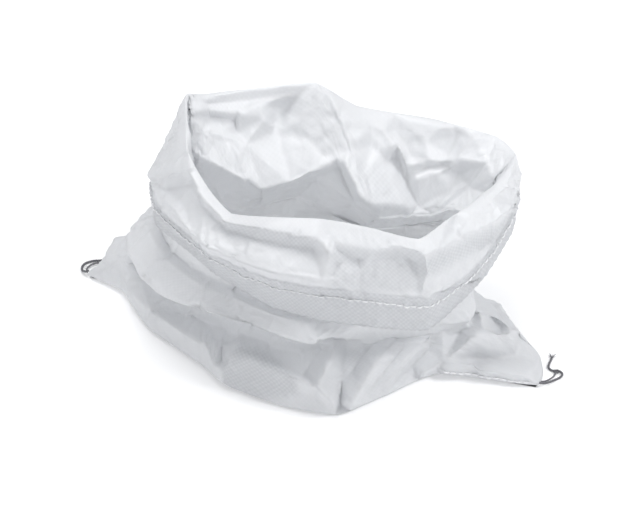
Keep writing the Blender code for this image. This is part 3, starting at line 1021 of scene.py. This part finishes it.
def settled(rows, marks):
    # A short cloth simulation on a coarser cage, whose moves are then laid over the fine rows
    every = settle["every"]
    cage = rows[::every, ::every]
    cage = np.concatenate([cage, cage[:, :1]], axis=1)
    piece = cageGrid("sack_cage", cage)
    held = piece.vertex_groups.new(name="held")
    around = cage.shape[1]
    for row in range(len(cage)):
        fine = row * every
        weight = settle["hold"]
        if fine >= marks["base"] or abs(fine - marks["rim"]) < settle["rimRows"]:
            weight = 1.0
        elif fine < settle["hemRows"]:
            weight = settle["hemHold"]
        held.add(list(range(row * around, (row + 1) * around)), weight, "REPLACE")
    cloth = piece.modifiers.new("settle", "CLOTH")
    cloth.settings.shrink_min = -settle["slack"]
    cloth.settings.vertex_group_mass = "held"
    for name, value in settle["cloth"].items():
        setattr(cloth.settings, name, value)
    cloth.point_cache.frame_start = 1
    cloth.point_cache.frame_end = settle["frames"]
    for step in range(1, settle["frames"] + 1):
        bpy.context.scene.frame_set(step)
    shaped = piece.evaluated_get(bpy.context.evaluated_depsgraph_get())
    moved = np.empty(cage.size)
    shaped.data.vertices.foreach_get("co", moved)
    change = moved.reshape(cage.shape) - cage
    change[:, 0] = change[:, -1] = (change[:, 0] + change[:, -1]) / 2
    size = np.linalg.norm(change, axis=2, keepdims=True)
    print(f"cloth settled, it moved {size.mean() * 1000:.2f} mm, at most {size.max() * 1000:.1f}")
    change *= np.minimum(1, settle["most"] / np.maximum(size, 1e-9))
    bpy.data.objects.remove(piece)
    bpy.context.scene.frame_set(1)
    down = np.clip(np.arange(rows.shape[0]) / every, 0, len(cage) - 1)
    low = np.minimum(down.astype(int), len(cage) - 2)
    share = (down - low)[:, None, None]
    tall = change[low] * (1 - share) + change[low + 1] * share
    across = np.arange(rows.shape[1]) / every
    left = across.astype(int)
    share = (across - left)[None, :, None]
    return rows + tall[:, left] * (1 - share) + tall[:, left + 1] * share


def makeSackGrid(rows, marks, material):
    count = sack["columns"]
    normals = gridNormals(rows)
    flap = []
    upTo = int(np.searchsorted(lengthDown(rows), sack["hemDepth"]))
    for k in range(upTo, -1, -1):
        proud = sack["hemProud"] if k else sack["hemProud"] * sack["hemLip"]
        flap.append(rows[k] + normals[k] * proud)
    whole = np.concatenate([np.stack(flap), rows])
    whole[..., 2] = np.maximum(whole[..., 2], sack["restHeight"])
    rowCount = len(whole)
    piece = cageGrid("sack_cloth", np.concatenate([whole, whole[:, :1]], axis=1))
    # The hem's folded flap takes the hem's value: its tapes show, and its colour is darkened as painted shade
    weave = np.concatenate([np.full((len(flap), count), tapes["hem"]), weaveAndShade(rows, marks)])
    weave = np.concatenate([weave, weave[:, :1]], axis=1)
    shownAndShaded = piece.data.attributes.new("weaveAndShade", "FLOAT", "POINT")
    shownAndShaded.data.foreach_set("value", weave.reshape(-1))
    layer = piece.data.uv_layers[0]
    layer.name = "cloth"
    uv = np.empty(len(layer.data) * 2)
    layer.data.foreach_get("uv", uv)
    uv = uv.reshape(-1, 2)
    uv[:, 0] *= sack["girth"]
    uv[:, 1] = np.interp(uv[:, 1] * (rowCount - 1), np.arange(rowCount), lengthDown(whole))
    layer.data.foreach_set("uv", uv.reshape(-1))
    bpy.ops.object.mode_set(mode="EDIT")
    bpy.ops.mesh.select_all(action="SELECT")
    bpy.ops.mesh.remove_doubles(threshold=sack["weld"])
    bpy.ops.object.mode_set(mode="OBJECT")
    piece.data.shade_smooth()
    piece.data.materials.append(material)
    return piece, whole, upTo


def makeSack():
    rows, marks = sackRows()
    print("sack lofted,", rows.shape, marks)
    rows = addFolds(rows, marks)
    rows = settled(rows, marks)
    rows = crumpled(rows, marks)
    piece, whole, hemTop = makeSackGrid(rows, marks, wovenCloth())
    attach(piece, "root")
    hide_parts("woven_sack")
    print("sack made,", len(piece.data.polygons), "faces")
    return whole, hemTop, rows, marks


stitching = {
    "pitch": 0.0082,
    "width": 0.0021,
    "height": 0.0013,
    "belowEdge": 0.0095,
    "foot": (8.05, 8.97),  # stations between which the bottom seam shows
    "footClear": 0.0004,
    "span": (0.08, 0.92),  # where a stitch starts and ends in its pitch
    "points": 7,
    "sunk": 0.0001,
    "thin": 0.62,  # thickness at its ends, and what its middle adds
    "swell": 0.38,
}


def makeStitches(name, line, normals, material, node):
    # One stitch, a flattened bead of thread that dips into the cloth at both ends, laid along the line
    travelled = lengthAlong(line)
    count = round(travelled[-1] / stitching["pitch"])
    pitch = travelled[-1] / count
    arch = np.sin(np.linspace(0, math.pi, stitching["points"]))
    radii = stitching["width"] / 2 * (stitching["thin"] + stitching["swell"] * arch)
    rise = (arch * stitching["height"] - stitching["sunk"])[:, None]
    bm = bmesh.new()
    for stitch in range(count):
        marks = pitch * (stitch + np.linspace(*stitching["span"], stitching["points"]))
        points = pointsAt(marks, travelled, line)
        away = pointsAt(marks, travelled, normals)
        sweptTube(bm, points + away * rise, radii)
    piece = meshFrom(bm, name, material)
    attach(piece, "root")
    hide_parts(node)
    print(name, count, "stitches")


def hemLine(whole, hemTop):
    row = int(np.searchsorted(lengthDown(whole[: hemTop + 1]), stitching["belowEdge"]))
    line = whole[row]
    normals = -gridNormals(whole[: hemTop + 1])[row]
    return np.vstack([line, line[:1]]), np.vstack([normals, normals[:1]])


def earLine(rows, marks):
    # Along the foot of the right ear, on its front side
    count = rows.shape[1]
    first, last = (round(count * station / len(baseRing)) for station in stitching["foot"])
    row = marks["base"] - 1
    normals = -gridNormals(rows)[row, first:last]
    return rows[row, first:last] + normals * stitching["footClear"], normals


studio = {
    "aim": (0, 0, 0.1),
    "lights": {
        "key_light": {"place": (1.6, -0.6, 1.7), "size": (0.9, 0.7), "power": 26},
        "top_light": {"place": (-0.3, 0.3, 2.0), "size": (1.2, 0.9), "power": 20},
        "fill_light": {"place": (-1.3, -2.0, 1.1), "size": (1.2, 0.9), "power": 10},
    },
    "sky": (0.97, 0.98, 1.0, 1),
    "skyStrength": 0.53,
    "floorSize": 14,
    "floor": {
        "Base Color": (0.93, 0.93, 0.935, 1),
        "Roughness": 0.8,
        "Emission Color": (1, 1, 1, 1),
        "Emission Strength": 0.12,
    },
}


def makeFloor():
    bpy.ops.object.select_all(action="DESELECT")
    bpy.ops.mesh.primitive_plane_add(size=studio["floorSize"], location=(0, 0, 0))
    floor = bpy.context.object
    floor.name = "studio_floor"
    material, _, shader, _ = newMaterial("pale_floor")
    setSockets(shader, studio["floor"])
    floor.data.materials.append(material)


def softBox(name, place, size, power):
    data = bpy.data.lights.new(name, "AREA")
    data.shape = "RECTANGLE"
    data.size, data.size_y = size
    data.energy = power
    light = bpy.data.objects.new(name, data)
    bpy.context.scene.collection.objects.link(light)
    light.location = place
    light.rotation_euler = (Vector(studio["aim"]) - Vector(place)).to_track_quat("-Z", "Y").to_euler()


def makeStudio():
    makeFloor()
    for name, light in studio["lights"].items():
        softBox(name, **light)
    world = bpy.data.worlds.new("studio")
    bpy.context.scene.world = world
    world.use_nodes = True
    world.node_tree.nodes["Background"].inputs["Color"].default_value = studio["sky"]
    world.node_tree.nodes["Background"].inputs["Strength"].default_value = studio["skyStrength"]
    bpy.context.scene.view_settings.view_transform = "Standard"


whole, hemTop, rows, marks = makeSack()
line, away = hemLine(whole, hemTop)
makeStitches("hem_chain", line, away, whiteThread, "hem_stitching")
line, away = earLine(rows, marks)
makeStitches("seam_chain", line, away, whiteThread, "bottom_seam_stitching")
makeStudio()
